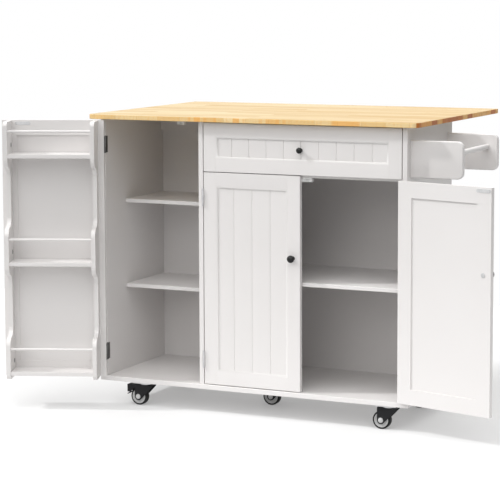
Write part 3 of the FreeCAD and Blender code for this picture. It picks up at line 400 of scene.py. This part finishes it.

# %% [markdown]
# Each node takes the finish of its material slot. The model's mesh is made of loose
# triangles, which would look faceted on rods and knuckles. So each node gets a dressed
# copy: its points merged, its flat faces made whole, its sharp edges rounded by what a
# sander and paint leave, and its round faces shaded smooth. Weighted normals keep the
# large flat faces flat beside those small rounds. The rack's fasteners and the spice
# door's hinges take a darker copy of the zinc, a painted shade for the shadow they
# sit in. One node holds the cabinet's leaves of all the door hinges, so it is dressed
# in two pieces.

# %% From the imported meshes to new pieces
slot_of = {row["node"]: row["material_slot"] for row in frame["record"]["subparts"]}
board_ease = 0.0008
fitting_ease = 0.0003
same_point = 0.00001
flat_within = math.radians(0.5)
sharp_over = math.radians(50)
eases_in_an_edge = 8


def as_object(name, bm, finish, node, smooth_under=38):
    """A finished mesh as an object that stands for a node and rides on its body."""
    mesh = bpy.data.meshes.new(name)
    bm.to_mesh(mesh)
    bm.free()
    mesh.materials.append(finish)
    mesh.polygons.foreach_set("use_smooth", [True] * len(mesh.polygons))
    mesh.set_sharp_from_angle(angle=math.radians(smooth_under))
    piece = bpy.data.objects.new(name, mesh)
    bpy.context.scene.collection.objects.link(piece)
    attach(piece, body_of[node])
    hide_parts(node)
    return piece


def merged(node):
    bm = bmesh.new()
    bm.from_mesh(nodes[node].data)
    bmesh.ops.remove_doubles(bm, verts=bm.verts, dist=same_point)
    return bm


def solids_in(bm):
    """The separate solids as sets of points, the one with most points first."""
    left, found = set(bm.verts), []
    while left:
        front = [left.pop()]
        group = set(front)
        while front:
            for edge in front.pop().link_edges:
                new = left.intersection(edge.verts)
                left -= new
                group |= new
                front.extend(new)
        found.append(group)
    return sorted(found, key=len, reverse=True)


def middle(points):
    """The middle of the box round some points."""
    low = Vector([min(p[i] for p in points) for i in range(3)])
    high = Vector([max(p[i] for p in points) for i in range(3)])
    return (low + high) / 2


def eased(bm, ease):
    """Flat faces made whole, and long sharp edges rounded."""
    bmesh.ops.dissolve_limit(bm, angle_limit=flat_within, verts=bm.verts, edges=bm.edges)
    long_edges = [e for e in bm.edges if e.is_manifold and e.calc_length() > eases_in_an_edge * ease]
    sharp = [e for e in long_edges if e.calc_face_angle() > sharp_over]
    bmesh.ops.bevel(bm, geom=sharp, offset=ease, offset_type="OFFSET", affect="EDGES", segments=2,
                    profile=0.5, material=-1, clamp_overlap=True)


def flat_faces_first(piece):
    weighted = piece.modifiers.new("flat faces first", "WEIGHTED_NORMAL")
    weighted.keep_sharp = True
    return piece


def dressed(node, ease, finish=None, name=None, left_of=None, right_of=None):
    """A dressed copy of a node, or only of its solids on one side of an x."""
    bm = merged(node)
    for group in solids_in(bm):
        x = middle([v.co for v in group]).x
        if (left_of is not None and x > left_of) or (right_of is not None and x < right_of):
            bmesh.ops.delete(bm, geom=list(group), context="VERTS")
    eased(bm, ease)
    finish = finish or finish_of_slot[slot_of[node]]
    return flat_faces_first(as_object(name or node + "_dressed", bm, finish, node))


own_nodes = [n for n in nodes if n.endswith(("_knob", "_wheel", "_fork"))]
# Painted shade: the rack's cams and the spice door's hinge leaves take the darker zinc.
own_finish = {"spice_rack_cams": shaded_zinc, "spice_door_hinge_leaves": shaded_zinc}
shared_leaves = "door_hinge_cabinet_leaves"
spice_side = -0.4
for node in sorted(set(nodes) - set(own_nodes) - {shared_leaves}):
    boards = slot_of[node] in ("white_paint", "top_wood")
    dressed(node, board_ease if boards else fitting_ease, own_finish.get(node))
# The spice side's cabinet leaves take the darker zinc as well, as painted shade.
dressed(shared_leaves, fitting_ease, shaded_zinc, "spice_side_leaves", left_of=spice_side)
dressed(shared_leaves, fitting_ease, zinc, "front_door_leaves", right_of=spice_side)
print(len(nodes) - len(own_nodes), "nodes dressed")

# %% [markdown]
# Knobs are turned on a lathe, and so is their model: half of the outline, spun once
# round. The outline is in shares of the knob's radius and length, because the drawer's
# knob is the doors' knob made smaller. Subdivision rounds it afterwards. The screw's head
# has a low cross on it.

# %% Turned knobs
knob_outline = [(0.0, 0.0), (0.66, 0.0), (0.60, 0.08), (0.47, 0.22), (0.47, 0.42), (0.78, 0.50),
                (0.97, 0.60), (0.99, 0.70), (0.90, 0.84), (0.60, 0.945), (0.28, 0.99), (0.0, 1.0)]
screw_outline = [(0.0, 0.0), (0.5, 0.10), (0.93, 0.40), (1.0, 0.98), (0.45, 1.0)]
screw_height = 0.002
cross_length = 1.15
cross_width = 0.2
cross_height = 0.0006
cross_rise = 0.0002
round_steps = 24


def spun(outline, centre, axis, across, steps):
    """An outline of (radius, reach) pairs spun round an axis through the centre."""
    bm = bmesh.new()
    points = [bm.verts.new(centre + across * r + axis * reach) for r, reach in outline]
    edges = [bm.edges.new(pair) for pair in zip(points[:-1], points[1:])]
    bmesh.ops.spin(bm, geom=points + edges, cent=centre, axis=axis, angle=math.tau, steps=steps,
                   use_merge=True)
    bmesh.ops.remove_doubles(bm, verts=bm.verts, dist=same_point / 10)
    bmesh.ops.recalc_face_normals(bm, faces=bm.faces)
    return bm


def radius_round(points, centre, axis):
    """How far the points reach from an axis through the centre."""
    return max((p - centre - axis * (p - centre).dot(axis)).length for p in points)


def scaled(outline, radius, length):
    return [(r * radius, reach * length) for r, reach in outline]


def add_cross(bm, centre, out, rim):
    """The two thin bars of the cross on a screw's head."""
    side = up.cross(out)
    for along, other in ((side, up), (up, side)):
        bar = bmesh.ops.create_cube(bm, size=1.0)["verts"]
        sizes = (along * rim * cross_length, other * rim * cross_width, out * cross_height)
        shape = Matrix.Translation(centre + out * cross_rise) @ Matrix(sizes).transposed().to_4x4()
        bmesh.ops.transform(bm, matrix=shape, verts=bar)


def turned_knob(node):
    bm = merged(node)
    body, screw = [[v.co.copy() for v in group] for group in solids_in(bm)]
    bm.free()
    out = middle(body) - middle(screw)
    out.z = 0
    out.normalize()
    reaches = [p.dot(out) for p in body]
    foot, length = min(reaches), max(reaches) - min(reaches)
    centre = middle(body)
    centre += out * (foot - centre.dot(out))
    radius = radius_round(body, centre, out)
    turned = spun(scaled(knob_outline, radius, length), centre, out, up, round_steps)
    knob = as_object(node + "_turned", turned, finish_of_slot[slot_of[node]], node, smooth_under=60)
    rounder = knob.modifiers.new("rounder", "SUBSURF")
    rounder.levels = rounder.render_levels = 2
    head_at = centre + out * (min(p.dot(out) for p in screw) - centre.dot(out))
    rim = radius_round(screw, head_at, out)
    head = spun(scaled(screw_outline, rim, screw_height), head_at, out, up, round_steps)
    add_cross(head, head_at, out, rim)
    as_object(node + "_screw", head, zinc, node)


up = Vector((0, 0, 1))
for node in [n for n in own_nodes if n.endswith("_knob")]:
    turned_knob(node)
print("knobs turned")

# %% [markdown]
# A caster wheel is a grey hub with a black tyre pressed on. Both are spun round the
# axle. The hub is dished, with a boss in the middle and a rim where the tyre sits. The
# axle is a bright bolt through a black fork, so it gets its own finish.

# %% Casters
axle_line = Vector((0, 1, 0))
wheel_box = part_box("caster_middle_wheel")
wheel_radius = (wheel_box[1].z - wheel_box[0].z) / 2
wheel_width = wheel_box[1].y - wheel_box[0].y
tyre_depth = 0.005
hub_half = 0.010
axle_hole = 0.0041
axle_play = 0.0002
boss_radius = 0.0085
rim_width = 0.0028
tyre_fit = 0.00005
cap_dome = 0.0012
axle_steps = 32
hub_steps = 48
tyre_steps = 64


def both_sides(half_side):
    """A closed outline from one that goes from the inside out along one side."""
    return half_side + [(r, -reach) for r, reach in reversed(half_side)] + half_side[:1]


def caster_wheel(node):
    low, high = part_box(node)
    centre = (low + high) / 2
    seat = wheel_radius - tyre_depth
    rim = seat - rim_width
    boss_side = [(axle_hole, hub_half), (boss_radius, hub_half), (boss_radius + 0.0007, hub_half - 0.0006),
                 (boss_radius + 0.0015, hub_half - 0.0028)]
    dish_side = [(boss_radius + 0.0065, hub_half - 0.0031), (rim - 0.0008, hub_half - 0.0024)]
    rim_side = [(rim, hub_half - 0.0003), (seat - 0.0003, hub_half), (seat, hub_half - 0.0004)]
    hub = spun(both_sides(boss_side + dish_side + rim_side), centre, axle_line, up, hub_steps)
    as_object(node + "_hub", hub, hub_plastic, node)
    half = wheel_width / 2
    inner = seat + tyre_fit
    tyre_side = [(inner, half - 0.0012), (inner + 0.0010, half), (wheel_radius - 0.0022, half),
                 (wheel_radius - 0.0008, half - 0.0009), (wheel_radius, half - 0.0028)]
    tyre = spun(both_sides(tyre_side), centre, axle_line, up, tyre_steps)
    as_object(node + "_tyre", tyre, tyre_rubber, node, smooth_under=50)


def caster_fork(node):
    """The fork keeps its shape, and its axle is turned anew with domed caps."""
    bm = merged(node)
    groups = solids_in(bm)
    bolt = min(groups, key=lambda group: max(v.co.z for v in group))
    points = [v.co.copy() for v in bolt]
    bmesh.ops.delete(bm, geom=list(bolt), context="VERTS")
    eased(bm, fitting_ease)
    flat_faces_first(as_object(node + "_dressed", bm, black_plastic, node))
    centre = middle(points)
    cap = radius_round(points, centre, axle_line)
    end = max(abs(p.y - centre.y) for p in points)
    cheek = min(abs(p.y - centre.y) for p in points if radius_round([p], centre, axle_line) > 0.9 * cap)
    side = [(0.0, end), (cap * 0.6, end - cap_dome * 0.3), (cap * 0.9, end - cap_dome),
            (cap, end - 2 * cap_dome), (cap, cheek), (axle_hole - axle_play, cheek)]
    outline = side + [(r, -reach) for r, reach in reversed(side)]
    axle = spun(outline, centre, axle_line, up, axle_steps)
    as_object(node + "_axle", axle, hub_plastic, node)


for node in [n for n in own_nodes if n.endswith("_wheel")]:
    caster_wheel(node)
for node in [n for n in own_nodes if n.endswith("_fork")]:
    caster_fork(node)
print("wheels", round(wheel_radius * 2000), "mm across")

# %% [markdown]
# The studio is a large sheet of pale paper on the floor, with white beyond it. The paper
# also glows a little, which keeps the shadows on it light. The light comes from suns,
# because lamps nearby would leave the paper's far end grey: a key from the upper left, a
# wide soft one in front and a wide one overhead. The camera and the reflections see a
# white sky, but the sky that lights the island is dimmer. The Standard view keeps white
# paper white.

# %% Floor and lights
floor_half = 2.1
floor_grey = 0.58
floor_glow = 0.22
sky_seen = 1.0
sky_felt = 0.03


def add_floor():
    bm = bmesh.new()
    bmesh.ops.create_grid(bm, x_segments=1, y_segments=1, size=floor_half)
    mesh = bpy.data.meshes.new("floor")
    bm.to_mesh(mesh)
    bm.free()
    finish, surface = new_finish("studio floor", (floor_grey, floor_grey, floor_grey), 0.7)
    surface.inputs["Specular IOR Level"].default_value = 0.1
    surface.inputs["Emission Color"].default_value = (1, 1, 1, 1)
    surface.inputs["Emission Strength"].default_value = floor_glow
    mesh.materials.append(finish)
    floor = bpy.data.objects.new("floor", mesh)
    bpy.context.scene.collection.objects.link(floor)


def add_sun(name, toward, spread, strength):
    """A sun that stands in the given direction, spread degrees wide."""
    sun = bpy.data.objects.new(name, bpy.data.lights.new(name, "SUN"))
    bpy.context.scene.collection.objects.link(sun)
    sun.rotation_euler = Vector(toward).to_track_quat("Z", "Y").to_euler()
    sun.data.angle = math.radians(spread)
    sun.data.energy = strength


def add_sky(seen, felt):
    """A sky of one brightness for the camera and for gloss, and another for the light that it gives."""
    sky = bpy.data.worlds.new("studio sky")
    bpy.context.scene.world = sky
    sky.use_nodes = True
    tree = sky.node_tree
    plain = tree.nodes["Background"]
    bright = tree.nodes.new("ShaderNodeBackground")
    for background, strength in ((plain, felt), (bright, seen)):
        background.inputs["Color"].default_value = (1, 1, 1, 1)
        background.inputs["Strength"].default_value = strength
    path = tree.nodes.new("ShaderNodeLightPath")
    either = tree.nodes.new("ShaderNodeMixShader")
    seen_ray = tree.nodes.new("ShaderNodeMath")
    seen_ray.operation = "MAXIMUM"
    tree.links.new(path.outputs["Is Camera Ray"], seen_ray.inputs[0])
    tree.links.new(path.outputs["Is Glossy Ray"], seen_ray.inputs[1])
    tree.links.new(seen_ray.outputs[0], either.inputs["Fac"])
    tree.links.new(plain.outputs[0], either.inputs[1])
    tree.links.new(bright.outputs[0], either.inputs[2])
    tree.links.new(either.outputs[0], tree.nodes["World Output"].inputs["Surface"])


add_floor()
add_sun("key", (-2.3, -1.0, 2.1), 5, 1.7)
add_sun("overhead", (0.1, 0.4, 1.0), 100, 1.9)
add_sun("front", (0.12, -1.0, 1.15), 75, 2.4)
add_sky(sky_seen, sky_felt)
bpy.context.scene.view_settings.view_transform = "Standard"
print("studio ready")
